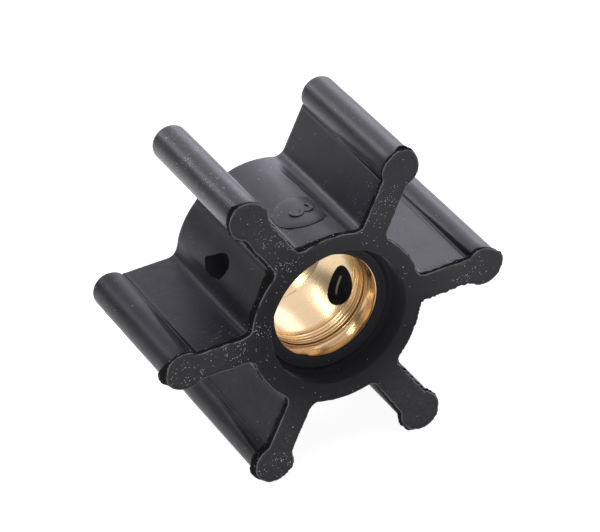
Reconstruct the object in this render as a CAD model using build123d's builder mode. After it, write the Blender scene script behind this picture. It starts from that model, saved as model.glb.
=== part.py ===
"""Flexible impeller of a raw-water pump: a moulded rubber body on a bonded
brass insert.

The shaft axis is Y and the front face looks along -Y. The origin is on the
shaft axis at mid-width. Blades stand at equal angles from +X, so the impeller
lies on its two lowest blade tips. All sizes are in millimetres.
"""

import os
from math import hypot, sqrt

from build123d import *

os.makedirs("parts", exist_ok=True)

# ------------------------------------------------------------ driving sizes
# Overall
outside_diameter = 40.0  # over opposite blade tips
width = 19.2  # along the shaft
hub_diameter = 20.0  # rubber hub between the blades

# Blades
blade_count = 6
web_thickness = 2.8  # flat part of a blade
bead_diameter = 4.2  # round sealing bead along the tip
root_radius = 1.2  # web into hub, both sides
crease_radius = 0.3  # web into bead, both sides
back_edge_break = 0.2  # bevel round the back outline

# Relief beside each bead: a tapered notch, widest at the front face
relief_into_web = 0.3  # inwards from the crease
relief_into_bead = 1.35  # outwards from the crease
relief_depth = 0.45  # below the web's flat face
relief_length = 11.5
relief_run_out = 0.04  # share of its section that is left at its back end

# Parting-line lip round the front outline
lip_overhang = 0.25  # past the moulded outline
tip_lip_overhang = 0.6  # past the bead at a blade's tip, where it is widest
lip_thickness = 0.3  # along the shaft

# Recess in each end of the hub, down to the insert
recess_diameter = 16.0
front_recess_depth = 2.8
back_recess_depth = 1.8  # the insert comes closer to the back face
recess_mouth_bevel = 0.5
floor_ring_diameter = 14.6  # small raised ring on the recess floor
floor_ring_width = 0.35
floor_ring_height = 0.15

# Brass insert
bore_diameter = 12.0  # seats on the shaft
mouth_band_depth = 0.175  # shallow step at each end of the bore
mouth_band_length = 2.0
insert_wall = 1.7
key_groove_width = 1.6  # outside grooves that lock the rubber
key_groove_depth = 0.4
key_groove_spacing = 9.0  # between the two grooves, centre to centre
insert_skin = 0.25  # rubber over each end face of the insert
skin_clearance = 0.35  # how far that skin stays back from the bore, all round

# Cross hole for the screw, through hub and insert at mid-width
screw_hole_diameter = 4.2

# Flat round cavity mark on the hub, between the second and third blades
mark_diameter = 5.9
mark_from_front = 6.8  # its centre, along the shaft
mark_proud = 0.1  # its flat top over the crown of the hub

# ------------------------------------------------------------ worked out
bead_radius = bead_diameter / 2
bead_centre_radius = outside_diameter / 2 - bead_radius
hub_radius = hub_diameter / 2
insert_diameter = bore_diameter + 2 * insert_wall
insert_front = -width / 2 + front_recess_depth + insert_skin  # along the shaft
insert_back = width / 2 - back_recess_depth - insert_skin
insert_length = insert_back - insert_front
insert_middle = (insert_front + insert_back) / 2
blade_pitch = 360 / blade_count
mark_angle = 1.5 * blade_pitch  # middle of the gap after the second blade
screw_hole_angle = 2.5 * blade_pitch  # middle of the next gap
# Where a web's flat face runs into its bead, from the shaft axis
crease_distance = bead_centre_radius - sqrt(bead_radius**2 - (web_thickness / 2) ** 2)

front = Plane.XZ.offset(width / 2)  # looks along -Y
back = Plane((0, width / 2, 0), x_dir=(1, 0, 0), z_dir=(0, 1, 0))
recess_depths = ((front, front_recess_depth), (back, back_recess_depth))


def outward(angle, y):
    """Plane on the shaft axis at y, facing out at an angle from +X to +Z."""
    return Plane(
        (0, y, 0), x_dir=(0, 1, 0), z_dir=Vector(1, 0, 0).rotate(Axis.Y, -angle)
    )


def corners_at(sketch, distance):
    """Corners of a sketch that lie at a distance from the shaft axis."""
    return sketch.vertices().filter_by(
        lambda corner: abs(Vector(corner).length - distance) < 0.01
    )


# ------------------------------------------------------------ outlines
with BuildSketch(front) as blades_outline:
    Circle(hub_radius)
    with PolarLocations(0, blade_count):
        with Locations((bead_centre_radius / 2, 0)):
            Rectangle(bead_centre_radius, web_thickness)
    fillet(corners_at(blades_outline, hub_radius), root_radius)
    with PolarLocations(bead_centre_radius, blade_count):
        Circle(bead_radius)
    crease_corners = corners_at(
        blades_outline, hypot(crease_distance, web_thickness / 2)
    )
    fillet(crease_corners, crease_radius)

# Half section of the insert's outside, filled in to the shaft axis
with BuildSketch(Plane.XY) as insert_outline:
    with Locations((insert_diameter / 4, insert_middle)):
        Rectangle(insert_diameter / 2, insert_length)
    with Locations(
        (insert_diameter / 2, -key_groove_spacing / 2),
        (insert_diameter / 2, key_groove_spacing / 2),
    ):
        Rectangle(2 * key_groove_depth, key_groove_width, mode=Mode.SUBTRACT)

# ------------------------------------------------------------ relief cutter
# On the first blade, one side of its web. The floor slopes up into the bead.
relief_top = 2 * relief_into_bead  # clear of the bead all the way back
relief_corners = (
    (-relief_into_web, relief_top),
    (-relief_into_web, -relief_depth),
    (0, -relief_depth),
    (relief_into_bead, relief_depth),
    (relief_into_bead, relief_top),
)
with BuildPart() as relief:
    for station, share in ((0, 1), (relief_length, relief_run_out)):
        with BuildSketch(front.offset(-station)):
            with Locations((crease_distance, web_thickness / 2)):
                Polygon(*[(share * x, share * z) for x, z in relief_corners], align=None)
    loft(ruled=True)
reliefs_of_blade = (relief.part, mirror(relief.part, about=Plane.XY))

# ------------------------------------------------------------ rubber body
with BuildPart() as rubber_impeller:
    extrude(blades_outline.sketch, amount=-width)
    back_outline = rubber_impeller.faces().sort_by(Axis.Y)[-1].outer_wire().edges()
    chamfer(back_outline, back_edge_break)

    # reliefs along both creases of every blade, running out towards the back
    for turn in range(blade_count):
        for one_side in reliefs_of_blade:
            add(Rot(0, -turn * blade_pitch, 0) * one_side, mode=Mode.SUBTRACT)

    # parting-line lip
    with BuildSketch(front):
        add(blades_outline.sketch_local)
        offset(amount=lip_overhang)
        tip_lip_shift = (tip_lip_overhang - lip_overhang) / 2
        with PolarLocations(bead_centre_radius + tip_lip_shift, blade_count):
            Circle(bead_radius + lip_overhang + tip_lip_shift)
    extrude(amount=-lip_thickness)

    # flat cavity mark, standing on the curved hub
    with Locations(outward(mark_angle, mark_from_front - width / 2)):
        Cylinder(
            mark_diameter / 2,
            hub_radius + mark_proud,
            align=(Align.CENTER, Align.CENTER, Align.MIN),
        )

    # recesses with bevelled mouths
    for end, recess_depth in recess_depths:
        with BuildSketch(end):
            Circle(recess_diameter / 2)
        extrude(amount=-recess_depth, mode=Mode.SUBTRACT)
    mouths = (
        rubber_impeller.edges()
        .filter_by(GeomType.CIRCLE)
        .filter_by(lambda e: abs(e.radius - recess_diameter / 2) < 0.01)
    )
    chamfer(mouths.group_by(Axis.Y)[0] + mouths.group_by(Axis.Y)[-1], recess_mouth_bevel)
    for end, recess_depth in recess_depths:
        with BuildSketch(end.offset(-recess_depth)):
            Circle((floor_ring_diameter + floor_ring_width) / 2)
            Circle((floor_ring_diameter - floor_ring_width) / 2, mode=Mode.SUBTRACT)
        extrude(amount=floor_ring_height)

    # seat of the insert, and the hole through the skin over its ends
    revolve(insert_outline.sketch, axis=Axis.Y, mode=Mode.SUBTRACT)
    with BuildSketch(front):
        Circle(bore_diameter / 2 + skin_clearance)
    extrude(amount=-width, mode=Mode.SUBTRACT)

    # screw hole across the hub
    with Locations(outward(screw_hole_angle, 0)):
        Cylinder(screw_hole_diameter / 2, 2 * hub_diameter, mode=Mode.SUBTRACT)

rubber_impeller.part.label = "rubber_impeller"

# ------------------------------------------------------------ brass insert
with BuildPart() as brass_insert:
    revolve(insert_outline.sketch, axis=Axis.Y)
    with Locations(Location((0, insert_middle, 0), (90, 0, 0))):
        Cylinder(bore_diameter / 2, insert_length, mode=Mode.SUBTRACT)
    for end, recess_depth in recess_depths:
        with BuildSketch(end.offset(-recess_depth - insert_skin)):
            Circle(bore_diameter / 2 + mouth_band_depth)
        extrude(amount=-mouth_band_length, mode=Mode.SUBTRACT)
    with Locations(outward(screw_hole_angle, 0)):
        Cylinder(screw_hole_diameter / 2, 2 * insert_diameter, mode=Mode.SUBTRACT)

brass_insert.part.label = "brass_insert"

export_step(rubber_impeller.part, "parts/rubber_impeller.step")
export_step(brass_insert.part, "parts/brass_insert.step")
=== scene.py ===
"""Looks of a raw-water pump impeller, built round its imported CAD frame."""

import math

import bmesh
import bpy
from mathutils import Matrix, Vector, noise


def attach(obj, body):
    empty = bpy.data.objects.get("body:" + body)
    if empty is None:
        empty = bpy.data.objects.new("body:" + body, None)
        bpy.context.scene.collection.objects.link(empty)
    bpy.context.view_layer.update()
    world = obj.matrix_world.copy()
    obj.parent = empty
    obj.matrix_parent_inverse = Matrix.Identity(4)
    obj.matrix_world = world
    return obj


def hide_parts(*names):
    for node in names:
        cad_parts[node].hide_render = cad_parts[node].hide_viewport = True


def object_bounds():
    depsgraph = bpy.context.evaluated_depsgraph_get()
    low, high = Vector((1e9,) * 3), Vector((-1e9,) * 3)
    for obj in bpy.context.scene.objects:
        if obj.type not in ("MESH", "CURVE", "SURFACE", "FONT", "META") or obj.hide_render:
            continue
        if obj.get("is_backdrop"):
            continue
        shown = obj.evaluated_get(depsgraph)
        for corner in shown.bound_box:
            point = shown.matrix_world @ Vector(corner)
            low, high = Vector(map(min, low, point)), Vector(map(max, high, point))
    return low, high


bl_info = {
    "name": "Pump Impeller",
    "version": (1, 0, 0),
    "blender": (4, 5, 0),
    "location": "View3D > Sidebar > Impeller",
    "description": "Moulded rubber pump impeller with a turned brass insert",
    "category": "Add Mesh",
}

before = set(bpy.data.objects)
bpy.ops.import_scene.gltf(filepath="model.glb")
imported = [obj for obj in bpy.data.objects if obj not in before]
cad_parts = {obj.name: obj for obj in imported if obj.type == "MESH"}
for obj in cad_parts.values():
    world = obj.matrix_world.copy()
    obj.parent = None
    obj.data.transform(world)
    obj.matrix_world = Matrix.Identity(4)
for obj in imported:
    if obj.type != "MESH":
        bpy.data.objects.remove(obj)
cad_lowest, cad_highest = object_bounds()

MM = 0.001
BLADES = 6
PITCH = 2 * math.pi / BLADES
FRONT = cad_lowest.y
BACK = cad_highest.y
# How far in mm the front face lies behind the frame's front plane
FACE_DEPTH = 0.05
# The screw hole's two ends, and the line through both
HOLE_ANGLES = (math.radians(150), math.radians(330))
HOLE_AXIS = Vector((math.cos(HOLE_ANGLES[0]), 0, math.sin(HOLE_ANGLES[0])))


# ---------------------------------------------------------------- sizes
def length(name, description, millimetres):
    """A length property, shown in the scene's unit."""
    return bpy.props.FloatProperty(
        name=name,
        description=description,
        default=millimetres * MM,
        min=0.0,
        precision=5,
        unit="LENGTH",
    )


def colour(name, description, value):
    """A colour property in linear light."""
    return bpy.props.FloatVectorProperty(
        name=name,
        description=description,
        default=value,
        size=3,
        min=0.0,
        max=1.0,
        subtype="COLOR",
    )


class ImpellerRubber(bpy.types.PropertyGroup):
    """Sizes and colours of the moulded rubber body."""

    hub_radius: length("Hub Radius", "Rubber hub between the blades", 10.0)
    half_web: length("Half Web", "Half the thickness of a blade's web", 1.4)
    root_radius: length("Root Radius", "Fillet of a web into the hub", 1.2)
    bead_radius: length("Bead Radius", "Round bead along a blade's tip", 2.1)
    bead_centre: length("Bead Centre", "From the shaft axis to a bead's centre", 17.9)
    face_crease: length("Face Crease", "Fillet of a web into its bead on the front face", 1.2)
    relief_length: length("Relief Length", "How far the reliefs run back from the front", 11.5)
    recess_radius: length("Recess Radius", "Recess in each end of the hub", 8.0)
    recess_depth: length("Recess Depth", "From the front face to its recess floor", 2.8)
    back_recess_depth: length("Back Recess Depth", "The same at the back face", 1.6)
    seat_radius: length("Seat Radius", "Seat of the brass insert", 7.7)
    skin: length("Skin", "Rubber over each end of the insert", 0.25)
    skin_radius: length("Skin Radius", "Opening in the skin over the insert", 6.18)
    hole_radius: length("Hole Radius", "Screw hole across the hub", 2.1)
    rubber: colour("Rubber", "Moulded surface", (0.015, 0.0145, 0.019))
    # pale rim: wear along the front edge, with a painted highlight
    rim: colour("Worn Rim With Painted Highlight", "Thin pale rim round the front face", (0.18, 0.18, 0.19))
    # torn flash: matt torn rubber, darkened further as painted shade under and behind the lip
    torn_and_shaded: colour("Torn Rubber With Painted Shade", "Torn edge of the moulding flash", (0.0075, 0.0068, 0.0068))
    # pale specks: dust, and painted glints where specks gather on edges
    dust_and_glint: colour("Dust", "Specks of dust", (0.60, 0.60, 0.63))


class ImpellerBrass(bpy.types.PropertyGroup):
    """Sizes and colours of the turned insert."""

    bore_radius: length("Bore Radius", "Bore that takes the shaft", 6.0)
    mouth_radius: length("Mouth Radius", "Wider band at each end of the bore", 6.175)
    mouth_length: length("Mouth Length", "Length of that band", 2.0)
    outer_radius: length("Outer Radius", "Outside, bonded to the rubber", 7.7)
    end_depth: length("End Depth", "From the rubber's front face to the insert", 3.05)
    back_depth: length("Back Depth", "From the rubber's back face to the insert", 1.85)
    brass: colour("Brass", "Clean turned metal", (0.72, 0.53, 0.30))
    # also darkens the bore's mouth, where it is partly painted shade
    tarnish_and_shade_colour: colour("Tarnish", "Darkened metal in the turned rings", (0.16, 0.075, 0.025))


class ImpellerStage(bpy.types.PropertyGroup):
    """Camera and floor."""

    floor_size: length("Floor Size", "Side of the pale floor", 3000.0)
    lens: bpy.props.FloatProperty(
        name="Lens", description="Focal length", default=222.83, unit="CAMERA"
    )
    floor: colour("Floor", "Pale floor", (0.92, 0.92, 0.92))


# ---------------------------------------------------------------- mesh tools
def ring_points(radius, y, count, wobble=0.0, seed=0.0, aside=0.0):
    """Points round the shaft axis, or aside of it, optionally a little uneven."""
    points = []
    for i in range(count):
        a = 2 * math.pi * i / count
        r = radius
        if wobble:
            r += wobble * noise.noise(Vector((3 * math.cos(a), 3 * math.sin(a), seed)))
        points.append(Vector((aside + r * math.cos(a), y, r * math.sin(a))))
    return points


def start_ring(name, points):
    """A circle primitive with its corners set on the first section."""
    bpy.ops.object.select_all(action="DESELECT")
    bpy.ops.mesh.primitive_circle_add(
        vertices=len(points), radius=0.01, rotation=(math.pi / 2, 0, 0)
    )
    shell = bpy.context.active_object
    shell.name = shell.data.name = name
    bpy.ops.object.transform_apply(location=True, rotation=True, scale=True)
    for corner, point in zip(shell.data.vertices, points):
        corner.co = point
    bpy.ops.object.mode_set(mode="EDIT")
    bpy.ops.mesh.select_mode(type="VERT")
    bpy.ops.mesh.select_all(action="SELECT")
    return shell


def next_ring(shell, ring, points):
    """Extrudes the selected ring and sets it on the next section."""
    bpy.ops.mesh.extrude_region_move()
    mesh = bmesh.from_edit_mesh(shell.data)
    mesh.verts.ensure_lookup_table()
    made = []
    for index in ring:
        corner = mesh.verts[index]
        made.append(
            next(
                e.other_vert(corner).index
                for e in corner.link_edges
                if e.other_vert(corner).select
            )
        )
    for index, point in zip(made, points):
        mesh.verts[index].co = point
    bmesh.update_edit_mesh(shell.data)
    return made


def stack_rings(name, sections):
    """A tube through sections that each have the same number of points."""
    shell = start_ring(name, sections[0])
    ring = list(range(len(sections[0])))
    for points in sections[1:]:
        ring = next_ring(shell, ring, points)
    bpy.ops.object.mode_set(mode="OBJECT")
    return shell


def join(pieces, name):
    """Joins pieces into the first."""
    bpy.ops.object.select_all(action="DESELECT")
    for piece in pieces:
        piece.select_set(True)
    bpy.context.view_layer.objects.active = pieces[0]
    bpy.ops.object.join()
    pieces[0].name = pieces[0].data.name = name
    return pieces[0]


def fill_between(shell, y, tolerance=0.02 * MM):
    """Fills the flat region between the open edges that lie at y."""
    bpy.context.view_layer.objects.active = shell
    bpy.ops.object.mode_set(mode="EDIT")
    bpy.ops.mesh.select_mode(type="EDGE")
    bpy.ops.mesh.select_all(action="DESELECT")
    mesh = bmesh.from_edit_mesh(shell.data)
    for edge in mesh.edges:
        if len(edge.link_faces) == 1 and all(
            abs(corner.co.y - y) < tolerance for corner in edge.verts
        ):
            edge.select_set(True)
    bmesh.update_edit_mesh(shell.data)
    bpy.ops.mesh.fill(use_beauty=True)
    bpy.ops.object.mode_set(mode="OBJECT")


def face_outwards(shell):
    """Turns every face outwards."""
    bpy.context.view_layer.objects.active = shell
    bpy.ops.object.mode_set(mode="EDIT")
    bpy.ops.mesh.select_all(action="SELECT")
    bpy.ops.mesh.remove_doubles(threshold=1e-7)
    bpy.ops.mesh.normals_make_consistent(inside=False)
    bpy.ops.object.mode_set(mode="OBJECT")


def select_only(piece):
    """Selects one piece and makes it the active one."""
    bpy.ops.object.select_all(action="DESELECT")
    piece.select_set(True)
    bpy.context.view_layer.objects.active = piece


def combine(shell, tool, operation):
    """Applies an exact boolean and deletes the tool."""
    select_only(shell)
    cut = shell.modifiers.new("cut", "BOOLEAN")
    cut.operation = operation
    cut.solver = "EXACT"
    cut.object = tool
    bpy.ops.object.modifier_apply(modifier=cut.name)
    bpy.data.objects.remove(tool, do_unlink=True)


def close_ends(shell):
    """Fills a tube's open ends and turns its faces outwards."""
    bpy.ops.object.mode_set(mode="EDIT")
    bpy.ops.mesh.select_all(action="DESELECT")
    bpy.ops.mesh.select_mode(type="EDGE")
    bpy.ops.mesh.select_non_manifold()
    bpy.ops.mesh.edge_face_add()
    bpy.ops.object.mode_set(mode="OBJECT")
    face_outwards(shell)


def write_mask(piece, name, values):
    """Writes one number a corner, for a material to read."""
    mask = piece.data.attributes.new(name, "FLOAT", "POINT")
    mask.data.foreach_set("value", values)


def smooth(piece, degrees):
    """Smooth shading up to an angle."""
    select_only(piece)
    bpy.ops.object.shade_smooth_by_angle(angle=math.radians(degrees))


# ---------------------------------------------------------------- outlines
def arc(centre, radius, start, end, count):
    """Points along an arc, its last point left out."""
    return [
        (
            centre[0] + radius * math.cos(start + (end - start) * i / count),
            centre[1] + radius * math.sin(start + (end - start) * i / count),
        )
        for i in range(count)
    ]


def part_way(a, b, share):
    """A point some share of the way between two."""
    return (a[0] + (b[0] - a[0]) * share, a[1] + (b[1] - a[1]) * share)


def along(points, count):
    """Points at equal distances along a polyline, its last point left out."""
    lengths = [0.0]
    for a, b in zip(points, points[1:]):
        lengths.append(lengths[-1] + math.dist(a, b))
    found, j = [], 0
    for i in range(count):
        target = lengths[-1] * i / count
        while lengths[j + 1] < target:
            j += 1
        share = (target - lengths[j]) / (lengths[j + 1] - lengths[j])
        found.append(part_way(points[j], points[j + 1], share))
    return found


def between(table, count):
    """The same number of points between each listed corner and the next."""
    spans = len(table) - 1
    found = []
    for i in range(count):
        j, share = divmod(spans * i / count, 1)
        found.append(part_way(table[int(j)], table[int(j) + 1], share))
    return found


# Points along each stretch of an outline: from mid-gap along the hub, the root
# fillet, the web and the crease on each side of a blade, and round its bead
HUB, ROOT, WEB, CREASE, BEAD = 22, 14, 34, 34, 54
HALF = HUB + ROOT + WEB + CREASE
# Where a crease begins, in millimetres from the shaft axis, and where it ends
# as an angle round the bead
CREASE_START = 15.3
BEAD_END = math.radians(88)

# A web's crease into its bead in millimetres, from the web outwards: where a
# relief is deepest, on each side of a blade, and where it has run out. The
# three tables have the same number of corners, which match.
RELIEF_WIDE = (
    (15.30, 1.40), (15.62, 1.40), (15.78, 1.405), (15.90, 1.415), (15.99, 1.40),
    (16.03, 1.34), (16.05, 1.10), (16.12, 0.97), (16.32, 0.94), (16.70, 1.20),
    (17.08, 1.48), (17.36, 1.70), (17.46, 1.90), (17.52, 2.03), (17.68, 2.085),
    (17.973, 2.0987),
)
RELIEF_NARROW = (
    (15.30, 1.40), (15.50, 1.40), (15.66, 1.40), (15.78, 1.405), (15.88, 1.40),
    (15.93, 1.35), (15.95, 1.08), (16.02, 0.95), (16.30, 0.92), (16.62, 0.97),
    (16.70, 1.25), (16.74, 1.62), (16.82, 1.79), (17.05, 1.92), (17.45, 2.06),
    (17.973, 2.0987),
)
RELIEF_CLOSED = (
    (15.30, 1.40), (15.70, 1.40), (15.88, 1.405), (16.02, 1.425), (16.13, 1.43),
    (16.22, 1.41), (16.29, 1.395), (16.35, 1.395), (16.40, 1.415), (16.45, 1.46),
    (16.51, 1.55), (16.60, 1.650), (16.75, 1.759), (17.00, 1.897), (17.45, 2.051),
    (17.973, 2.0987),
)


def blade_outline(s, lower_crease, upper_crease):
    """One blade's outline in millimetres, from mid-gap to mid-gap."""
    hub, half, root = s.hub_radius / MM, s.half_web / MM, s.root_radius / MM
    bead, centre = s.bead_radius / MM, s.bead_centre / MM
    root_centre = (math.sqrt((hub + root) ** 2 - (half + root) ** 2), half + root)
    turn = math.atan2(root_centre[1], root_centre[0])
    upper = arc((0, 0), hub, PITCH / 2, turn, HUB)
    upper += arc(root_centre, root, turn - math.pi, -math.pi / 2, ROOT)
    upper += along([(root_centre[0], half), (CREASE_START, half)], WEB)
    lower = [(x, -z) for x, z in upper + lower_crease]
    upper += upper_crease
    tip = arc((centre, 0), bead, -BEAD_END, BEAD_END, BEAD)
    meeting = (centre + bead * math.cos(BEAD_END), bead * math.sin(BEAD_END))
    return lower + tip + [meeting] + upper[:0:-1]


def face_crease(s):
    """The front face's plain fillet from a web into its bead."""
    half, bead, centre = s.half_web / MM, s.bead_radius / MM, s.bead_centre / MM
    fillet = s.face_crease / MM
    x = centre - math.sqrt((bead + fillet) ** 2 - (half + fillet) ** 2)
    touch = math.atan2(half + fillet, x - centre)
    path = [(CREASE_START, half)]
    path += arc((x, half + fillet), fillet, -math.pi / 2, touch - math.pi, 16)
    path += arc((centre, 0), bead, touch, BEAD_END, 10)
    path.append((centre + bead * math.cos(BEAD_END), bead * math.sin(BEAD_END)))
    return along(path, CREASE)


def all_round(outline):
    """One blade's outline repeated at each blade, as points in metres."""
    points = []
    for k in range(BLADES):
        c, s = math.cos(k * PITCH), math.sin(k * PITCH)
        points += [
            Vector((x * c - z * s, 0, x * s + z * c)) * MM for x, z in outline
        ]
    return points


def outward_normals(points):
    """Unit normals of a closed outline in the XZ plane."""
    normals = []
    for i, point in enumerate(points):
        t = points[(i + 1) % len(points)] - points[i - 1]
        normals.append(Vector((t.z, 0, -t.x)).normalized())
    return normals


# Flash along the front edge of each blade, in turn from +X towards +Z: place
# (-2 and 2 mid-gap, -1 to 1 round the bead), overhang and thickness in mm.
FLASH = (
    (
        (-2.0, 0.15, 0.30), (-1.7, 0.20, 0.35), (-1.4, 0.20, 0.40), (-1.0, 0.20, 0.35),
        (-0.58, 0.10, 0.30), (-0.20, 0.11, 0.30), (0.00, 0.46, 0.40),
        (0.20, 0.42, 0.35), (0.30, 0.12, 0.30), (0.52, 0.12, 0.20), (0.71, 0.20, 0.30),
        (0.88, 0.36, 0.35), (1.1, 0.30, 0.35), (1.4, 0.30, 0.35), (1.8, 0.25, 0.40),
    ),
    (
        (-2.0, 0.22, 0.40), (-1.4, 0.12, 0.30), (-1.0, 0.06, 0.25), (-0.5, 0.02, 0.20),
        (-0.24, 0.06, 0.25), (-0.14, 0.30, 0.35), (0.0, 0.34, 0.35), (0.12, 0.45, 0.40),
        (0.27, 0.55, 0.45), (0.32, 0.10, 0.18), (0.50, 0.06, 0.14), (0.80, 0.12, 0.20),
        (1.05, 0.22, 0.36), (1.35, 0.24, 0.38), (1.6, 0.26, 0.42), (1.8, 0.30, 0.40),
    ),
    (
        (-2.0, 0.25, 0.40), (-1.88, 0.30, 0.45), (-1.76, 0.50, 0.60),
        (-1.66, 0.30, 0.40), (-1.4, 0.28, 0.35), (-0.97, 0.28, 0.35),
        (-0.76, 0.12, 0.15), (-0.53, 0.05, 0.10), (-0.33, 0.05, 0.10),
        (-0.15, 0.14, 0.20), (0.0, 0.44, 0.50), (0.14, 0.38, 0.50), (0.35, 0.23, 0.42),
        (0.60, 0.26, 0.50), (0.85, 0.32, 0.55), (1.1, 0.42, 0.45), (1.4, 0.52, 0.40),
        (1.60, 0.45, 0.50), (1.72, 0.75, 0.95), (1.84, 0.65, 0.90), (1.92, 0.40, 0.65),
    ),
    (
        (-2.0, 0.40, 0.62), (-1.86, 0.40, 0.62), (-1.74, 0.35, 0.45),
        (-1.4, 0.40, 0.36),
        (-1.1, 0.30, 0.28), (-0.69, 0.25, 0.22), (-0.48, 0.25, 0.24),
        (-0.30, 0.42, 0.42), (-0.12, 0.70, 0.85), (-0.02, 0.74, 1.00), (0.12, 0.62, 0.80),
        (0.24, 0.14, 0.45), (0.49, 0.02, 0.25), (0.70, 0.00, 0.25), (0.95, 0.10, 0.30),
        (1.1, 0.18, 0.40), (1.4, 0.24, 0.40), (1.75, 0.25, 0.40),
    ),
    (
        (-2.0, 0.28, 0.40), (-1.75, 0.20, 0.55), (-1.4, 0.18, 0.65),
        (-1.1, 0.30, 0.65), (-0.80, 0.55, 0.65), (-0.53, 0.62, 0.65),
        (-0.36, 0.50, 0.55), (-0.14, 0.26, 0.45), (0.08, 0.17, 0.35),
        (0.29, 0.08, 0.30), (0.64, 0.08, 0.30), (0.76, 0.29, 0.30),
        (0.93, 0.30, 0.30), (1.15, 0.12, 0.30), (1.4, 0.04, 0.30), (1.75, 0.10, 0.30),
    ),
    (
        (-2.0, 0.15, 0.30), (-1.7, 0.35, 0.30), (-1.4, 0.60, 0.30),
        (-1.15, 0.60, 0.30), (-0.82, 0.62, 0.35), (-0.53, 0.50, 0.30),
        (-0.34, 0.39, 0.30), (-0.19, 0.34, 0.30), (-0.05, 0.31, 0.30),
        (0.13, 0.29, 0.30), (0.31, 0.22, 0.30), (0.49, 0.12, 0.25), (0.80, 0.30, 0.30),
        (1.0, 0.44, 0.32), (1.4, 0.44, 0.32), (1.75, 0.30, 0.32),
    ),
)
# How ragged each blade's flash is: spans of the same places, and depth in mm
RAGGED = (
    ((-2.0, -1.8, 0.15), (-1.8, -1.15, 0.20), (-0.3, 0.30, 0.12), (1.6, 2.0, 0.07)),
    ((0.40, 0.75, 0.12),),
    ((-0.2, 0.3, 0.08),),
    ((-0.65, 0.15, 0.14),),
    ((-1.1, -0.3, 0.08), (0.2, 0.95, 0.12)),
    ((-0.95, -0.3, 0.12), (0.1, 0.6, 0.08), (0.75, 2.0, 0.14), (-1.6, -1.3, 0.08)),
)


def places_round_blade():
    """The place of each outline point, in the terms of FLASH."""
    # a crease is a fillet, then a part of the bead up to its end
    fillet, crease_end = 21, 0.746
    stretches = (
        (-2.0, -1.84, HUB), (-1.84, -1.66, ROOT), (-1.66, -1.34, WEB),
        (-1.34, -1.0, fillet), (-1.0, -crease_end, CREASE - fillet),
    )
    half = [
        start + (stop - start) * i / count
        for start, stop, count in stretches
        for i in range(count)
    ]
    tip = [crease_end * (2 * i / BEAD - 1) for i in range(BEAD + 1)]
    return half + tip + [-u for u in half[:0:-1]]


def read_table(table, place, column, after):
    """A table's value at a place, straight between its rows."""
    rows = list(table) + [(2.0,) + tuple(after[0][1:])]
    for a, b in zip(rows, rows[1:]):
        if place <= b[0]:
            share = (place - a[0]) / (b[0] - a[0])
            return a[column] + (b[column] - a[column]) * share
    return rows[-1][column]


def evened(values, passes):
    """A closed list with its steps evened out."""
    for _ in range(passes):
        values = [
            (values[i - 1] + 2 * v + values[(i + 1) % len(values)]) / 4
            for i, v in enumerate(values)
        ]
    return values


def flash_sizes(face):
    """Ragged overhang, plain overhang and thickness of the flash at each point."""
    places = places_round_blade()
    overhang, thickness, depth = [], [], []
    for k in range(BLADES):
        after = FLASH[(k + 1) % BLADES]
        for place in places:
            overhang.append(read_table(FLASH[k], place, 1, after))
            thickness.append(read_table(FLASH[k], place, 2, after))
            depth.append(
                max([0.035] + [d for a, b, d in RAGGED[k] if a <= place <= b])
            )
    overhang, thickness = evened(overhang, 4), evened(thickness, 10)
    depth = evened(depth, 12)
    ragged = []
    for i, point in enumerate(face):
        p = point / MM
        coarse = noise.noise(p * 1.1)
        fine = noise.noise(p * 3.3 + Vector((5, 0, 0)))
        nick = max(0.0, noise.noise(p * 2.1 + Vector((0, 9, 0))) - 0.25)
        ragged.append(
            max(-0.02, overhang[i] + depth[i] * (0.8 * coarse + 1.3 * fine - 1.5 * nick))
        )
        thickness[i] = 0.10 + 1.2 * thickness[i] * (
            1 + 0.35 * noise.noise(p * 0.9 + Vector((0, 0, 4)))
        )
    return ragged, overhang, thickness


def kept_in_box(point):
    """A point no further out than the frame's own box."""
    return Vector(
        min(max(v, low), high)
        for v, low, high in zip(point, cad_lowest, cad_highest)
    )


# ---------------------------------------------------------------- rubber body
# Depths in mm of the body's rings behind the frame's front plane
BODY_DEPTHS = (
    1.75, 2.2, 2.8, 3.5, 4.2, 4.9, 5.6, 6.3, 7.0, 7.7, 8.4, 9.1, 9.8, 10.5, 11.2,
    11.9, 12.5, 13.2, 14.0, 14.8, 15.6, 16.4, 17.2, 18.0, 18.6, 18.95,
)
# The front face's rings: inset from the edge and depth in mm, and how often
# the edge is evened out
FACE_RINGS = (
    (1.00, FACE_DEPTH, 60), (0.60, FACE_DEPTH, 20), (0.36, FACE_DEPTH, 6),
    (0.26, 0.02, 2), (0.19, 0.0, 2), (0.09, 0.0, 0), (0.03, 0.02, 0), (0.0, 0.07, 0),
)
# How much pale rim and dark flash the rings have, by their number from the face's middle
RIM_RINGS = {5: 0.9, 6: 1.0, 7: 0.3}
# the flash's edge, underside and the side just behind it: torn rubber and painted shade
TORN_AND_SHADED_RINGS = {7: 0.9, 8: 1.0, 9: 1.0, 10: 1.0, 11: 0.9, 12: 0.2}


def front_edge(overhang, ragged, thickness):
    """How far the front face reaches past the plain outline at each point."""
    edge = []
    for o, r, t in zip(overhang, ragged, thickness):
        reach = 0.16 + 0.22 * min(1.0, max(0.0, (0.62 - t) / 0.16))
        edge.append(reach * math.tanh(o / reach) + 0.85 * (r - o))
    return edge


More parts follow.
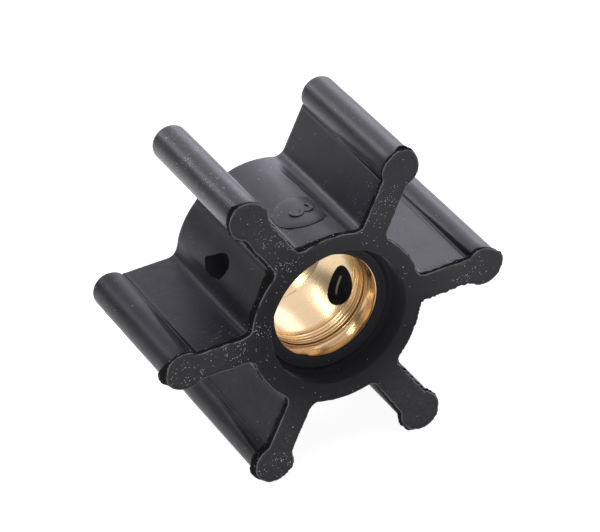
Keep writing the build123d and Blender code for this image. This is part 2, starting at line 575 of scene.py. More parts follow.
def moulded_side(s):
    """The rubber's outer shell, from the front face round the blades to the back."""
    plain = face_crease(s)
    wide, narrow = between(RELIEF_WIDE, CREASE), between(RELIEF_NARROW, CREASE)
    shut = between(RELIEF_CLOSED, CREASE)
    face = all_round(blade_outline(s, plain, plain))
    opened = all_round(blade_outline(s, wide, narrow))
    closed = all_round(blade_outline(s, shut, shut))
    face_normals = outward_normals(face)
    normals = outward_normals(closed)
    ragged, overhang, thickness = flash_sizes(face)
    count = len(face)

    def front_ring(reaches, depths):
        return [
            kept_in_box(p + n * reach * MM + Vector((0, FRONT + depth * MM, 0)))
            for p, n, reach, depth in zip(face, face_normals, reaches, depths)
        ]

    def uneven(scale, aside):
        return [noise.noise(p / MM * scale + aside) for p in face]

    def body_ring(depths, offset):
        points = []
        for i, depth in enumerate(depths):
            share = max(0.0, 1 - depth * MM / s.relief_length)
            p = closed[i].lerp(opened[i], share)
            p = p + normals[i] * (offset + root_feature(i, depth)) * MM
            p.y = FRONT + depth * MM
            q = p / MM
            wave = 0.022 * noise.noise(q * 0.25) + 0.007 * noise.noise(q * 0.9)
            points.append(kept_in_box(p + normals[i] * wave * MM))
        return points

    edge = front_edge(overhang, ragged, thickness)
    sections = []
    for inset, depth, passes in FACE_RINGS:
        reaches = [e - inset for e in evened(edge, passes)]
        sections.append(front_ring(reaches, [depth] * count))
    # the flash flares behind the face to a torn lip, then goes back under it
    flared = [r + 0.04 * v for r, v in zip(ragged, uneven(3.1, Vector((0, 3, 0))))]
    lip = [r - 0.04 + 0.05 * v for r, v in zip(ragged, uneven(2.5, Vector((7, 0, 0))))]
    under = [max(0.0, r * 0.45) for r in ragged]
    sections.append(front_ring(flared, [0.10 + 0.35 * t for t in thickness]))
    sections.append(front_ring(lip, [max(0.22, t - 0.06) for t in thickness]))
    sections.append(front_ring(under, [max(0.26, t) for t in thickness]))
    for least, past, offset in (
        (0.30, 0.03, -0.05), (0.38, 0.14, -0.02), (0.56, 0.32, 0.0),
    ):
        sections.append(body_ring([max(least, t + past) for t in thickness], offset))
    for depth in BODY_DEPTHS:
        sections.append(body_ring([depth] * count, 0.0))
    last = (BACK - FRONT) / MM
    for before, offset in ((0.16, -0.02), (0.05, -0.07), (0.0, -0.16)):
        sections.append(body_ring([last - before] * count, offset))
    for inset in (0.55, 1.0):
        sections.append(
            [
                p - n * inset * MM + Vector((0, BACK, 0))
                for p, n in zip(face, face_normals)
            ]
        )
    side = stack_rings("rubber_impeller_moulded", sections)
    # the pale rim is wear with a painted highlight on it: edges that face up are painted
    # palest
    upward_highlight = [min(1.0, max(0.5, 0.7 + 0.6 * n.z)) for n in face_normals]
    for name, rings, shares in (
        ("rim", RIM_RINGS, upward_highlight), ("torn_and_shaded", TORN_AND_SHADED_RINGS, [1.0] * count),
    ):
        values = [0.0] * len(side.data.vertices)
        for ring, value in rings.items():
            values[ring * count:(ring + 1) * count] = [value * v for v in shares]
        write_mask(side, name, values)
    return side


def root_feature(i, depth):
    """Height in mm of the dip, ridge or ledge at a root, at an outline's point."""
    per_blade = 2 * HALF + BEAD
    place = i % per_blade
    forward = 1 - depth * MM / (BACK - FRONT)
    if place < HALF:
        # a dip in the hub, then a thin ridge along the web
        crest = 1.05 * HUB + ROOT - 5.4 * forward
        dip = -0.05 * math.exp(-(((place / HUB - 0.84) / 0.15) ** 2))
        width = 1.0 if place < crest else 4.0
        ridge = 0.05 * math.exp(-(((place - crest) / width) ** 2))
        return dip + ridge * min(1.0, max(0.0, (15.0 - depth) / 6))
    if HALF + BEAD < place and i // per_blade == 1:
        # beside the second blade the hub rises to a thin ledge
        place = (per_blade - place) / HUB
        crest = 0.63 + 0.26 * forward
        proud = 0.15 * min(1.0, max(0.0, (16.5 - depth) / 3))
        if place < crest:
            rise = max(0.0, (place - 0.35) / (crest - 0.35))
            return proud * rise * rise
        return proud * max(0.0, 1 - (place - crest) / 0.09)
    return 0.0


INSIDE_POINTS = 200


def moulded_inside(s):
    """The rubber's inner shell: both recesses, the skin's opening and the seat."""
    radius, seat = s.recess_radius / MM, s.seat_radius / MM
    skin, cover = s.skin_radius / MM, s.skin / MM

    def end(depth):
        # radius, depth, unevenness and how far the ring is off the axis
        return (
            (radius + 0.30, FACE_DEPTH, 0, 0.30), (radius + 0.10, 0.053, 0.04, 0.30),
            (radius + 0.05, 0.07, 0.04, 0.30), (radius + 0.02, 0.12, 0.03, 0.30),
            (radius, 0.22, 0.02, 0.28), (radius, 0.50, 0.01, 0.26),
            (radius, 0.80, 0, 0.24), (radius, depth - 0.80, 0.0, 0.10),
            (radius, depth - 0.24, 0.02, 0.06), (radius - 0.06, depth - 0.10, 0.02, 0.05),
            (radius - 0.18, depth - 0.02, 0.02, 0.05), (radius - 0.32, depth, 0.0, 0.05),
            (7.46, depth, 0.0, 0), (7.41, depth - 0.03, 0.01, 0),
            (7.37, depth - 0.10, 0.01, 0), (7.30, depth - 0.13, 0.01, 0),
            (7.23, depth - 0.10, 0.01, 0), (7.19, depth - 0.03, 0.01, 0),
            (7.14, depth, 0.0, 0), (6.80, depth, 0.0, 0.08), (skin + 0.10, depth, 0.0, 0.15),
            (skin + 0.03, depth + 0.03, 0.03, 0.15), (skin, depth + 0.10, 0.03, 0.15),
            (skin, depth + cover, 0.0, 0.15), (seat, depth + cover, 0.0, 0),
        )

    sections = []
    for r, d, wobble, aside in end(s.recess_depth / MM):
        sections.append(
            ring_points(
                r * MM, FRONT + d * MM, INSIDE_POINTS, wobble * MM, d, aside * MM
            )
        )
    for r, d, wobble, aside in reversed(end(s.back_recess_depth / MM)):
        # the back face is flat to its edge, so its mouth starts on that face
        d = 0.0 if d == FACE_DEPTH else d
        sections.append(
            ring_points(
                r * MM, BACK - d * MM, INSIDE_POINTS, wobble * MM, 9 - d,
                0.3 * aside * MM,
            )
        )
    return stack_rings("inside", sections)


# The torn outer mouth of the screw hole, clockwise, along the shaft and round it
HOLE_MOUTH = (
    (3.30, 0.80), (1.72, -0.17), (0.56, -1.02), (-0.30, -1.30), (-1.12, -1.04),
    (-1.75, -0.39), (-1.35, 0.75), (-0.55, 1.68), (0.90, 2.00), (2.49, 2.00),
)
# The hole's sections: from the shaft axis, and the share of the mouth's outline,
# which past 1 makes it larger
HOLE_SECTIONS = (
    (5.0, 0.0), (7.9, 0.0), (8.6, 0.15), (9.3, 0.55), (9.75, 0.85), (10.1, 1.0),
    (11.6, 1.15),
)
HOLE_POINTS = 72
# From here inwards the hole widens by up to 6 %
WIDENS_FROM = 9.75


def rounded_outline(corners, count, passes):
    """A closed outline through corners, evened out."""
    closed = list(corners) + [corners[0]]
    points = along(closed, count)
    u = evened([p[0] for p in points], passes)
    v = evened([p[1] for p in points], passes)
    return list(zip(u, v))


def hole_tool(s, angle, mouth=None):
    """A cutter for the screw hole on one side of the hub."""
    radial = Vector((math.cos(angle), 0, math.sin(angle)))
    across = Vector((-math.sin(angle), 0, math.cos(angle)))
    outline = rounded_outline(mouth, HOLE_POINTS, 3) if mouth else None
    start = math.atan2(mouth[0][1], mouth[0][0]) if mouth else 0.0
    # the mouth's corners run clockwise
    turn = -1 if mouth else 1
    sections = []
    for distance, share in HOLE_SECTIONS:
        ring = []
        widened = 1.0 + 0.06 * min(1.0, max(0.0, (WIDENS_FROM - distance) / 3.5))
        for i in range(HOLE_POINTS):
            a = start + turn * 2 * math.pi * i / HOLE_POINTS
            p = Vector((math.cos(a), math.sin(a))) * s.hole_radius / MM
            p *= 1 + 0.03 * noise.noise(Vector((p.x, p.y, distance)))
            p *= widened
            if mouth:
                p = p.lerp(Vector(outline[i]), min(share, 1.0))
            p *= max(share, 1.0)
            ring.append(
                radial * distance * MM + Vector((0, p.x, 0)) * MM + across * p.y * MM
            )
        sections.append(ring)
    tool = stack_rings("hole_tool", sections)
    close_ends(tool)
    return tool


def from_hole_axis(point):
    """How far a point is from the screw hole's axis."""
    return (point - HOLE_AXIS * point.dot(HOLE_AXIS)).length


class IMPELLER_OT_rubber(bpy.types.Operator):
    """Moulds the rubber body round the frame's own"""

    bl_idname = "impeller.rubber"
    bl_label = "Rubber Body"

    def execute(self, context):
        s = context.scene.impeller_rubber
        side = moulded_side(s)
        inside = moulded_inside(s)
        body = join([side, inside], "rubber_body")
        fill_between(body, FRONT + FACE_DEPTH * MM)
        fill_between(body, BACK)
        face_outwards(body)
        for angle, mouth in zip(HOLE_ANGLES, (HOLE_MOUTH, None)):
            combine(body, hole_tool(s, angle, mouth), "DIFFERENCE")
        combine(body, cavity_mark(s), "UNION")
        combine(body, mark_numeral(s), "UNION")
        smooth(body, 38)
        mark_finish(body)
        body.data.materials.clear()
        body.data.materials.append(rubber_material(s))
        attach(body, "root")
        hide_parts("rubber_impeller")
        return {"FINISHED"}


# The round mark on the hub in mm: its middle and its numeral's, both from the
# frame's front plane, how deep the numeral's middle lies in the hub, and the
# radius of each ring of the mark and its height above the hub
MARK_MIDDLE = (-0.13, 6.75)
NUMERAL_MIDDLE = (-0.1, 6.6)
NUMERAL_SUNK = 0.13
MARK_RINGS = (
    (3.02, -0.60), (3.02, 0.04), (3.0, 0.08), (2.95, 0.10), (2.2, 0.12),
    (1.4, 0.13), (0.7, 0.13),
)


def cavity_mark(s):
    """The flat round mark that stands on the hub and follows its curve."""
    hub = s.hub_radius / MM
    middle = (MARK_MIDDLE[0], FRONT / MM + MARK_MIDDLE[1])
    sections = []
    for r, proud in MARK_RINGS:
        ring = []
        for x, y in arc(middle, r, 0.0, 2 * math.pi, 96):
            ring.append(Vector((x, y, math.sqrt(hub * hub - x * x) + proud)) * MM)
        sections.append(ring)
    disc = stack_rings("cavity_mark", sections)
    close_ends(disc)
    return disc


def mark_numeral(s):
    """A plain raised numeral for the round mark."""
    bpy.ops.object.select_all(action="DESELECT")
    bpy.ops.object.text_add(location=(0, 0, 0))
    numeral = bpy.context.active_object
    text = numeral.data
    text.body = "3"
    text.size = 4.1 * MM
    text.align_x, text.align_y = "CENTER", "CENTER"
    text.extrude = 0.3 * MM
    text.offset = -0.03 * MM
    text.bevel_depth = 0.04 * MM
    text.resolution_u = 6
    bpy.ops.object.convert(target="MESH")
    numeral = bpy.context.active_object
    x, y = NUMERAL_MIDDLE
    numeral.location = (x * MM, FRONT + y * MM, s.hub_radius - NUMERAL_SUNK * MM)
    numeral.rotation_euler = (0, 0, math.radians(-78))
    bpy.ops.object.transform_apply(location=True, rotation=True, scale=True)
    face_outwards(numeral)
    return numeral


# Where dust has gathered, and where specks stand in as painted glints on edges, and how far
# each spreads, in mm
DUST_AND_GLINT_SPOTS = (
    ((-9.3, 8.0, 17.5), 2.6), ((-9.3, 2.0, 17.5), 3.2), ((-9.3, -4.0, 17.5), 2.6),
    ((-6.0, -9.6, 12.0), 3.0), ((-4.5, -9.6, 8.6), 2.4), ((-16.5, -9.6, 0.0), 2.6),
    ((-12.6, -9.6, 0.5), 2.6), ((-9.5, -9.6, 2.0), 1.6), ((6.2, -9.6, 11.6), 2.6),
    ((7.4, -9.6, 12.6), 1.5), ((-8.9, -9.6, -15.5), 2.2), ((-2.8, -5.0, 9.6), 1.2),
    ((-2.7, -1.1, 9.6), 1.0), ((8.1, -9.5, 2.0), 0.7), ((16.0, -9.6, 0.5), 1.6),
)


def mark_finish(body):
    """Writes where the rubber is a face or sunk, and where dust and painted glints gather, for
    its material.
    """
    corners = body.data.vertices
    masks = {name: [0.0] * len(corners) for name in ("face", "sunk", "dust_and_glint_spots")}
    for i, corner in enumerate(corners):
        p = corner.co / MM
        near_end = min(p.y - FRONT / MM, BACK / MM - p.y)
        from_axis = math.hypot(p.x, p.z)
        masks["face"][i] = float(near_end < 0.055)
        # the recesses lie near the shaft axis, and the hole's walls near its own
        in_recess = from_axis < 8.5 and near_end > 0.06
        in_hole = from_hole_axis(p) < 3.2 and 6 < from_axis < 9.93
        # sunk places are painted lighter by the material, as painted fill light
        masks["sunk"][i] = float(in_recess or in_hole)
        masks["dust_and_glint_spots"][i] = max(
            math.exp(-(((p - Vector(centre)).length / spread) ** 2))
            for centre, spread in DUST_AND_GLINT_SPOTS
        )
    for name, values in masks.items():
        write_mask(body, name, values)


# ---------------------------------------------------------------- brass insert
# The lock grooves round the insert in mm: middles, half their width and depth
GROOVE_MIDDLES = (4.5, -4.5)
GROOVE_HALF = 0.8
GROOVE_DEPTH = 0.4
INSERT_POINTS = 240


def front_bore_rings(bore, mouth, outer, step):
    """Radius and depth in mm from the insert's front end inwards."""
    return (
        (outer, 0.0), (outer - 0.03, 0.0), (mouth + 0.20, 0.0),
        (mouth + 0.09, 0.0), (mouth + 0.075, 0.008), (mouth + 0.01, 0.075),
        (mouth, 0.10), (mouth, 0.70), (mouth - 0.01, 1.30), (mouth, step - 0.06),
        (mouth + 0.03, step), (mouth + 0.035, step + 0.08),
        (mouth + 0.01, step + 0.14), (mouth - 0.02, step + 0.40),
        (mouth - 0.01, step + 0.48), (mouth - 0.05, step + 0.56),
        (bore + 0.05, step + 0.76), (bore + 0.05, step + 0.90),
        (bore + 0.07, step + 0.96), (bore + 0.04, step + 1.04),
        (bore + 0.03, step + 1.34), (bore + 0.06, step + 1.42),
        (bore + 0.02, step + 1.50), (bore + 0.01, step + 1.86),
        (bore + 0.03, step + 1.94), (bore, step + 2.02),
        (bore, step + 2.40), (bore + 0.03, step + 2.48),
        (bore, step + 2.56), (bore, step + 3.6),
    )


def back_bore_rings(bore, mouth, outer, step):
    """Radius and depth in mm from the back end, from the deepest outwards."""
    return (
        (bore, 8.0), (bore, 6.0), (bore, step + 0.40), (bore + 0.04, step + 0.30),
        (bore + 0.05, step + 0.16), (bore + 0.01, step + 0.06),
        (bore + 0.02, step), (mouth, step - 0.08), (mouth, 0.10),
        (mouth + 0.075, 0.008), (mouth + 0.09, 0.0), (outer - 0.03, 0.0),
        (outer, 0.0),
    )


def turned_insert(s):
    """The insert's closed shell: through the bore and back along its outside."""
    outer = s.outer_radius / MM
    sizes = (s.bore_radius / MM, s.mouth_radius / MM, outer, s.mouth_length / MM)
    end = s.end_depth / MM
    sections = [
        ring_points(r * MM, FRONT + (end + d) * MM, INSERT_POINTS)
        for r, d in front_bore_rings(*sizes)
    ]
    sections += [
        ring_points(r * MM, BACK - s.back_depth - d * MM, INSERT_POINTS)
        for r, d in back_bore_rings(*sizes)
    ]
    for middle in GROOVE_MIDDLES:
        for side, cut in ((1, 0.0), (1, GROOVE_DEPTH), (-1, GROOVE_DEPTH), (-1, 0.0)):
            y = middle + side * GROOVE_HALF
            sections.append(ring_points((outer - cut) * MM, y * MM, INSERT_POINTS))
    insert = stack_rings("brass_insert_turned", sections + [sections[0]])
    face_outwards(insert)
    return insert


class IMPELLER_OT_brass(bpy.types.Operator):
    """Turns the brass insert with its rings and cross hole"""

    bl_idname = "impeller.brass"
    bl_label = "Brass Insert"

    def execute(self, context):
        s = context.scene.impeller_brass
        insert = turned_insert(s)
        for angle in HOLE_ANGLES:
            tool = hole_tool(context.scene.impeller_rubber, angle)
            combine(insert, tool, "DIFFERENCE")
        smooth(insert, 35)
        insert.data.materials.clear()
        insert.data.materials.append(brass_material(s))
        # rubber ran along the moulding pin, so it lines the cross hole
        insert.data.materials.append(bpy.data.materials["moulded rubber"])
        lined = set()
        for face in insert.data.polygons:
            centre = face.center / MM
            outside_bore = math.hypot(centre.x, centre.z) > s.bore_radius / MM + 0.02
            if from_hole_axis(centre) < 2.25 and outside_bore:
                face.material_index = 1
                lined.update(face.vertices)
        sunk = [float(i in lined) for i in range(len(insert.data.vertices))]
        write_mask(insert, "sunk", sunk)
        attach(insert, "root")
        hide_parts("brass_insert")
        return {"FINISHED"}


# ---------------------------------------------------------------- materials
def join_up(tree, source, target):
    """Links a socket to another, or sets it to a number, vector or colour."""
    if isinstance(source, bpy.types.NodeSocket):
        tree.links.new(source, target)
    elif target.type == "RGBA":
        target.default_value = (*source, 1.0)
    else:
        target.default_value = source


def node(tree, kind, inputs=(), **settings):
    """A new node with its settings, and its inputs by name or number."""
    made = tree.nodes.new(kind)
    for name, value in settings.items():
        setattr(made, name, value)
    for key, value in dict(inputs).items():
        join_up(tree, value, made.inputs[key])
    return made


def new_group(name, inputs, outputs):
    """A shader node group with named sockets."""
    group = bpy.data.node_groups.new(name, "ShaderNodeTree")
    for title, kind, value in inputs:
        socket = group.interface.new_socket(
            name=title, in_out="INPUT", socket_type="NodeSocket" + kind
        )
        socket.default_value = value
    for title, kind in outputs:
        group.interface.new_socket(
            name=title, in_out="OUTPUT", socket_type="NodeSocket" + kind
        )
    return group, node(group, "NodeGroupInput"), node(group, "NodeGroupOutput")


def arithmetic(tree, operation, *values, clamp=False):
    """A Math node fed by sockets or plain numbers."""
    return node(
        tree, "ShaderNodeMath", enumerate(values), operation=operation, use_clamp=clamp
    ).outputs[0]


def times(tree, first, second):
    """A product."""
    return arithmetic(tree, "MULTIPLY", first, second)


def ramp(tree, value, low, high):
    """0 at low to 1 at high, which may be the smaller of the two."""
    ends = {"Value": value, "From Min": low, "From Max": high}
    return node(tree, "ShaderNodeMapRange", ends, clamp=True).outputs["Result"]


def within(tree, value, low, high, soft):
    """1 between low and high, and 0 where it is more than soft outside them."""
    rise = ramp(tree, value, low - soft, low)
    return times(tree, rise, ramp(tree, value, high + soft, high))


def vector_value(tree, operation, *vectors):
    """The number that a Vector Math node gives for a place."""
    made = node(
        tree, "ShaderNodeVectorMath", enumerate(vectors), operation=operation
    )
    return made.outputs["Value"]


def bumped(tree, height, strength, distance, **under):
    """A normal raised by a height, over another Normal if there is one."""
    inputs = {"Strength": strength, "Distance": distance, "Height": height}
    return node(tree, "ShaderNodeBump", inputs | under).outputs["Normal"]


def blended(tree, factor, first, second):
    """A colour mix."""
    inputs = {0: factor, 6: first, 7: second}
    return node(tree, "ShaderNodeMix", inputs, data_type="RGBA").outputs[2]


def noise_of(tree, place, scale, detail=2.0, rough=0.5, distortion=0.0):
    """Noise at a place."""
    inputs = {
        "Vector": place, "Scale": scale, "Detail": detail, "Roughness": rough,
        "Distortion": distortion,
    }
    return node(tree, "ShaderNodeTexNoise", inputs).outputs["Fac"]


def grain_group():
    """Two sizes of surface grain, as a height."""
    group, ins, outs = new_group(
        "Surface Grain",
        (("Vector", "Vector", (0, 0, 0)), ("Fine Scale", "Float", 9000.0),
         ("Coarse Scale", "Float", 1500.0), ("Coarse Share", "Float", 0.5)),
        (("Height", "Float"),),
    )
    fine, coarse = (
        noise_of(group, ins.outputs["Vector"], ins.outputs[title], detail)
        for title, detail in (("Fine Scale", 2.0), ("Coarse Scale", 3.0))
    )
    shares = {0: ins.outputs["Coarse Share"], 2: fine, 3: coarse}
    mixed = node(group, "ShaderNodeMix", shares)
    join_up(group, mixed.outputs[0], outs.inputs["Height"])
    return group


def dust_group():
    """Specks of dust, some of them painted glints, as a mask."""
    group, ins, outs = new_group(
        "Dust Specks",
        (("Vector", "Vector", (0, 0, 0)), ("Scale", "Float", 2600.0),
         ("Size", "Float", 0.22), ("Density", "Float", 0.1)),
        (("Mask", "Float"),),
    )
    where = {name: ins.outputs[name] for name in ("Vector", "Scale")}
    cells = node(group, "ShaderNodeTexVoronoi", where, feature="F1")
    pick = node(group, "ShaderNodeSeparateColor", {0: cells.outputs["Color"]})
    present = arithmetic(group, "LESS_THAN", pick.outputs[0], ins.outputs["Density"])
    size = times(group, pick.outputs[1], ins.outputs["Size"])
    speck = arithmetic(group, "LESS_THAN", cells.outputs["Distance"], size)
    faintness = ramp(group, pick.outputs[2], -0.3, 1.0)
    mask = times(group, times(group, present, speck), faintness)
    join_up(group, mask, outs.inputs["Mask"])
    return group


def placed_group(tree, group, place, **values):
    """What a group gives for a place, with its own values."""
    inputs = {name.replace("_", " "): value for name, value in values.items()}
    inputs["Vector"] = place
    return node(tree, "ShaderNodeGroup", inputs, node_tree=group).outputs[0]


def new_material(name):
    """A material with only its Principled shader and output."""
    material = bpy.data.materials.new(name)
    material.use_nodes = True
    tree = material.node_tree
    return material, tree, tree.nodes["Principled BSDF"]


def face_colour(tree, place, clean, from_axis, across):
    """The ends' duller rubber, darkest round the recess, and painted paler towards the upper
    right as painted light.
    """
    worn_face = (clean[0] * 1.94, clean[1] * 1.88, clean[2] * 1.60)
    fleck = tuple(v * 1.5 + 0.002 for v in worn_face)
    mottle = noise_of(tree, place, 2300, 4, 0.65)
    found = blended(tree, ramp(tree, mottle, 0.42, 0.72), worn_face, fleck)
    past_hub = ramp(tree, from_axis, 9.0 * MM, 14.0 * MM)
    found = blended(tree, past_hub, tuple(v * 0.72 for v in clean), found)
    # painted light: the ends are painted paler towards the upper right
    painted_light_upper_right = times(tree, ramp(tree, across, 1.0 * MM, 12.0 * MM), 0.75)
    return blended(tree, painted_light_upper_right, found, tuple(v * 1.5 for v in worn_face))


def hole_glint_mask(tree, place, sunk, from_axis, across):
    """A short painted highlight inside the hole through the insert, as a mask."""
    apart = node(tree, "ShaderNodeSeparateXYZ", {0: place})
    mask = sunk
    for value, low, high, soft in (
        (from_axis, 7.02, 7.20, 0.08),
        (across, -0.60, 0.90, 0.35),
        (apart.outputs["Y"], 1.15, 2.4, 0.1),
    ):
        mask = times(tree, mask, within(tree, value, low * MM, high * MM, soft * MM))
    return mask


def rubber_material(s):
    """Satin moulded rubber, matt where torn, with dust, painted shade and painted light."""
    material, tree, shader = new_material("moulded rubber")
    place = node(tree, "ShaderNodeTexCoord").outputs["Object"]
    rim, torn_and_shaded, face, sunk, dust_and_glint_spots = (
        node(tree, "ShaderNodeAttribute", attribute_name=name).outputs["Fac"]
        for name in ("rim", "torn_and_shaded", "face", "sunk", "dust_and_glint_spots")
    )
    cloud = noise_of(tree, place, 260, 4, 0.6)
    smear = noise_of(tree, place, 500, 5, 0.55, 0.6)
    patches = noise_of(tree, place, 750, 2, 0.5)
    no_y = {0: place, 1: (1.0, 0.0, 1.0)}
    flat = node(tree, "ShaderNodeVectorMath", no_y, operation="MULTIPLY")
    from_axis = vector_value(tree, "LENGTH", flat.outputs[0])
    up_right = (0.6, 0.0, 0.8)
    across = vector_value(tree, "DOT_PRODUCT", place, up_right)

    clean = tuple(s.rubber)
    light = tuple(v * 1.6 + 0.002 for v in clean)
    # the recesses and holes are painted lighter than the open rubber: painted fill light that
    # lifts their shade
    sunk_painted_lighter = (clean[0] * 1.70, clean[1] * 1.70, clean[2] * 1.50)
    # colour of a painted highlight in the cross hole
    glint_colour = (0.62, 0.56, 0.46)
    base = blended(tree, ramp(tree, cloud, 0.35, 0.7), clean, light)
    base = blended(tree, face, base, face_colour(tree, place, clean, from_axis, across))
    # painted fill light in the recesses and holes
    base = blended(tree, sunk, base, sunk_painted_lighter)
    # a short pale streak in the cross hole: a painted highlight where the metal's edge would
    # glint
    painted_glint = hole_glint_mask(tree, place, sunk, from_axis, across)
    base = blended(tree, painted_glint, base, glint_colour)
    # the pale rim: wear with a painted highlight, broken up in patches
    rim_wear_and_highlight = times(tree, rim, ramp(tree, patches, 0.29, 0.50))
    base = blended(tree, rim_wear_and_highlight, base, tuple(s.rim))
    # torn flash, darkened further as painted shade under and behind the lip
    base = blended(tree, torn_and_shaded, base, tuple(s.torn_and_shaded))
    # specks gather in spots: dust, and painted glints on the mark's edge and the recess mouth
    gathered = times(tree, dust_and_glint_spots, ramp(tree, patches, 0.45, 0.6))
    density = arithmetic(tree, "MULTIPLY_ADD", gathered, 0.5, 0.006)
    dust_and_glint = placed_group(
        tree, dust_group(), place, Scale=8600.0, Size=0.5, Density=density
    )
    join_up(tree, blended(tree, dust_and_glint, base, tuple(s.dust_and_glint)), shader.inputs["Base Color"])

    roughness = ramp(tree, smear, 0.3, 0.75)
    roughness = arithmetic(tree, "MULTIPLY_ADD", roughness, 0.12, 0.42)
    for mask, extra in ((torn_and_shaded, 0.45), (face, 0.22), (sunk, 0.4), (dust_and_glint, 0.4)):
        more = times(tree, mask, extra)
        roughness = arithmetic(tree, "ADD", roughness, more, clamp=True)
    join_up(tree, roughness, shader.inputs["Roughness"])

    grain = placed_group(
        tree, grain_group(), place,
        Fine_Scale=7000.0, Coarse_Scale=1300.0, Coarse_Share=0.6,
    )
    normal = bumped(tree, grain, 0.5, 0.00005)
    normal = bumped(tree, smear, 0.22, 0.00012, Normal=normal)
    join_up(tree, normal, shader.inputs["Normal"])

    # a thin skin of release wax, missing where the rubber is torn
    bare = arithmetic(tree, "MAXIMUM", torn_and_shaded, face)
    bare = arithmetic(tree, "MAXIMUM", bare, sunk)
    wax = ramp(tree, across, -5.0 * MM, 6.0 * MM)
    wax = arithmetic(tree, "MULTIPLY_ADD", wax, 0.56, 0.16)
    wax = arithmetic(tree, "SUBTRACT", wax, bare, clamp=True)
    join_up(tree, wax, shader.inputs["Coat Weight"])
    shader.inputs["Coat Roughness"].default_value = 0.34
    shader.inputs["Specular IOR Level"].default_value = 0.18
    shader.inputs["Sheen Weight"].default_value = 0.32
    shader.inputs["Sheen Roughness"].default_value = 0.22
    return material


# Tarnished rings of the bore, in mm from where its mouth ends, and how dark
RING_TARNISH = (
    (-0.08, 0.06, 0.95), (0.14, 0.42, 0.55), (0.46, 0.72, 0.95), (0.90, 1.02, 0.95),
    (1.06, 1.32, 0.45), (1.36, 1.46, 0.90), (1.86, 1.98, 0.70), (2.42, 2.52, 0.55),
)


def tarnish_and_shade_mask(tree, depth, step):
    """Where the bore's turned rings are darkened by oxide, and its mouth by oxide and painted
    shade.
    """
    lip, soft = 0.14 * MM, 0.05 * MM
    # the mouth band and its outer edge: oxide, and painted shade for the dimmer reflection
    # there
    bands = [(-0.30 * MM, lip, 0.78), (lip, step - 0.16 * MM, 0.58)]
    bands += [
        (step + start * MM, step + stop * MM, dark)
        for start, stop, dark in RING_TARNISH
    ]
    masks = []
    for start, stop, dark in bands:
        band = within(tree, depth, start + soft, stop, soft)
        masks.append(times(tree, band, dark))
    mask = masks[0]
    for other in masks[1:]:
        mask = arithmetic(tree, "MAXIMUM", mask, other)
    return mask


def brass_material(s):
    """Turned brass with machining lines, oxide in its turned rings and painted shade on its
    mouth.
    """
    material, tree, shader = new_material("turned brass")
    place = node(tree, "ShaderNodeTexCoord").outputs["Object"]
    # stretched across the shaft, so that noise runs round it as lathe lines
    stretched = {"Vector": place, "Scale": (0.06, 1.0, 0.06)}
    lathe = node(tree, "ShaderNodeMapping", stretched).outputs["Vector"]
    lines = noise_of(tree, lathe, 9000, 3, 0.6)
    broad = noise_of(tree, lathe, 1800, 3, 0.55)
    stain = noise_of(tree, place, 420, 4, 0.6, 0.5)
    apart = node(tree, "ShaderNodeSeparateXYZ", {0: place})
    depth = arithmetic(tree, "SUBTRACT", apart.outputs["Y"], FRONT + s.end_depth)
    depth = arithmetic(tree, "ADD", depth, times(tree, stain, 0.12 * MM))

    clean, dark = tuple(s.brass), tuple(s.tarnish_and_shade_colour)
    stained = times(tree, ramp(tree, stain, 0.5, 0.8), 0.35)
    stain_colour = tuple(0.62 * a + 0.38 * b for a, b in zip(clean, dark))
    tarnish_and_shade = tarnish_and_shade_mask(tree, depth, s.mouth_length)
    tarnish_and_shade = times(tree, tarnish_and_shade, ramp(tree, broad, 0.25, 0.6))
    base = blended(tree, stained, clean, stain_colour)
    # oxide, with painted shade on the mouth
    base = blended(tree, tarnish_and_shade, base, dark)
    join_up(tree, base, shader.inputs["Base Color"])
    shader.inputs["Metallic"].default_value = 1.0

    # the mouth is polished smoother than the rest
    mouth_end = s.mouth_length - 0.05 * MM
    polished = ramp(tree, depth, mouth_end, mouth_end - 0.10 * MM)
    roughness = arithmetic(tree, "MULTIPLY_ADD", lines, 0.16, 0.19)
    roughness = arithmetic(tree, "SUBTRACT", roughness, times(tree, polished, 0.17))
    roughness = arithmetic(tree, "ADD", roughness, times(tree, tarnish_and_shade, 0.12))
    join_up(tree, roughness, shader.inputs["Roughness"])
    join_up(tree, bumped(tree, lines, 0.35, 0.00002), shader.inputs["Normal"])
    return material


def floor_material(s):
    """Pale, faintly uneven table top that glows round the part as a painted pool of light."""
    material, tree, shader = new_material("pale floor")
    place = node(tree, "ShaderNodeTexCoord").outputs["Object"]
    tone = noise_of(tree, place, 8, 3)
    pale = tuple(s.floor)
    base = blended(tree, tone, pale, tuple(min(1.0, v * 1.02) for v in pale))
    dull = blended(tree, 0.5, base, (0.0, 0.0, 0.0))
    join_up(tree, dull, shader.inputs["Base Color"])
    shader.inputs["Roughness"].default_value = 0.9
    shader.inputs["Specular IOR Level"].default_value = 0.2
    # the floor glows most round the part, a painted pool of light that washes out its cast
    # shadow, and fades away from it
    light_pool_share = ramp(tree, vector_value(tree, "LENGTH", place), 0.24, 0.11)
    painted_light_pool = blended(tree, light_pool_share, tuple(0.4 * v for v in pale), base)
    join_up(tree, painted_light_pool, shader.inputs["Emission Color"])
    shader.inputs["Emission Strength"].default_value = 0.98
    return material


# ---------------------------------------------------------------- stage
WHITE = (1.0, 1.0, 1.0)
COOL_WHITE = (0.98, 0.95, 1.07)
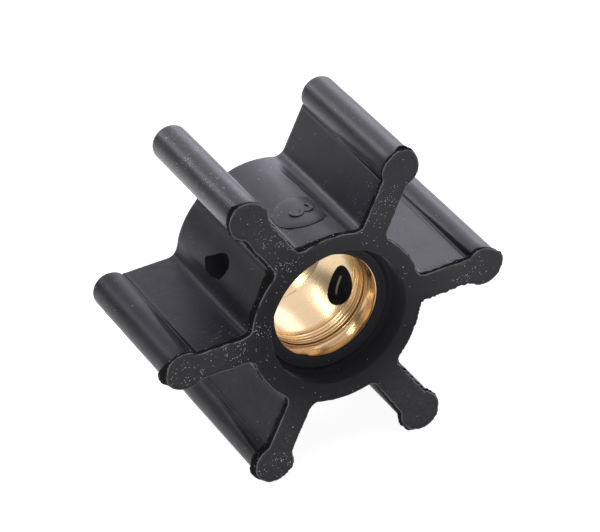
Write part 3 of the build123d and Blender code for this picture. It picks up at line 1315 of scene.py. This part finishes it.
# Name, place in metres, width and height, power in watts, and tint
SOFT_LIGHTS = (
    ("backdrop", (0.30, 1.00, 0.60), (1.7, 1.05), 5.2, COOL_WHITE),
    ("right_panel", (0.74, 0.72, 0.40), (0.8, 0.6), 2.2, COOL_WHITE),
    ("strip", (-0.394, 0.845, 0.583), (0.12, 0.5), 1.3, WHITE),
    ("overhead", (0.0, 0.0, 1.0), (1.0, 1.0), 4.2, WHITE),
)
CAMERA_PLACE = (-0.13560, -0.30795, 0.21934)
CAMERA_RIGHT = Vector((0.88813, -0.45191, -0.08366))
CAMERA_UP = Vector((0.30987, 0.45437, 0.83518))
CAMERA_AHEAD = Vector((0.33941, 0.76768, -0.54357))


def soft_light(name, place, size, power, tint):
    """A large oblong light that looks at the part."""
    bpy.ops.object.select_all(action="DESELECT")
    bpy.ops.object.light_add(type="AREA", location=place)
    lamp = bpy.context.active_object
    lamp.name = lamp.data.name = name
    aim = Vector() - Vector(place)
    lamp.rotation_euler = aim.to_track_quat("-Z", "Y").to_euler()
    lamp.data.shape = "RECTANGLE"
    lamp.data.size, lamp.data.size_y = size
    lamp.data.energy = power
    lamp.data.color = tint
    lamp.visible_camera = False


class IMPELLER_OT_stage(bpy.types.Operator):
    """Adds the pale floor, the studio light and the camera"""

    bl_idname = "impeller.stage"
    bl_label = "Stage"

    def execute(self, context):
        s = context.scene.impeller_stage
        bpy.ops.object.select_all(action="DESELECT")
        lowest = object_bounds()[0][2]
        bpy.ops.mesh.primitive_plane_add(size=s.floor_size, location=(0, 0, lowest))
        floor = context.active_object
        bpy.ops.object.transform_apply(location=True, rotation=True, scale=True)
        floor.name = floor.data.name = "floor"
        floor.data.materials.append(floor_material(s))
        floor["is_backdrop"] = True

        context.scene.view_settings.view_transform = "Standard"
        world = bpy.data.worlds.new("studio")
        context.scene.world = world
        world.use_nodes = True
        background = world.node_tree.nodes["Background"]
        background.inputs["Color"].default_value = (0.93, 0.96, 1.0, 1)
        background.inputs["Strength"].default_value = 0.32
        for light in SOFT_LIGHTS:
            soft_light(*light)

        bpy.ops.object.camera_add(location=CAMERA_PLACE)
        camera = context.active_object
        turn = Matrix((CAMERA_RIGHT, CAMERA_UP, -CAMERA_AHEAD)).transposed()
        camera.rotation_euler = turn.to_euler()
        camera.data.lens = s.lens
        camera.data.sensor_width = 36.0
        camera.data.clip_start = 0.01
        context.scene.camera = camera
        return {"FINISHED"}


class IMPELLER_PT_panel(bpy.types.Panel):
    """Lists the impeller's pieces"""

    bl_label = "Pump Impeller"
    bl_idname = "IMPELLER_PT_panel"
    bl_space_type = "VIEW_3D"
    bl_region_type = "UI"
    bl_category = "Impeller"

    def draw(self, context):
        layout = self.layout
        for kind in STEPS:
            layout.operator(kind.bl_idname)
        for settings in (
            context.scene.impeller_rubber,
            context.scene.impeller_brass,
            context.scene.impeller_stage,
        ):
            box = layout.box()
            for name in type(settings).__annotations__:
                box.prop(settings, name)


STEPS = (IMPELLER_OT_rubber, IMPELLER_OT_brass, IMPELLER_OT_stage)
CLASSES = (ImpellerRubber, ImpellerBrass, ImpellerStage, *STEPS, IMPELLER_PT_panel)


def register():
    """Registers the add-on's classes and its scene properties."""
    for kind in CLASSES:
        bpy.utils.register_class(kind)
    scene = bpy.types.Scene
    scene.impeller_rubber = bpy.props.PointerProperty(type=ImpellerRubber)
    scene.impeller_brass = bpy.props.PointerProperty(type=ImpellerBrass)
    scene.impeller_stage = bpy.props.PointerProperty(type=ImpellerStage)


def unregister():
    """Takes the add-on's classes and properties away again."""
    scene = bpy.types.Scene
    del scene.impeller_rubber, scene.impeller_brass, scene.impeller_stage
    for kind in reversed(CLASSES):
        bpy.utils.unregister_class(kind)


def main():
    """Builds the whole scene."""
    register()
    for kind in STEPS:
        group, name = kind.bl_idname.split(".")
        getattr(getattr(bpy.ops, group), name)()


if __name__ == "__main__":
    main()
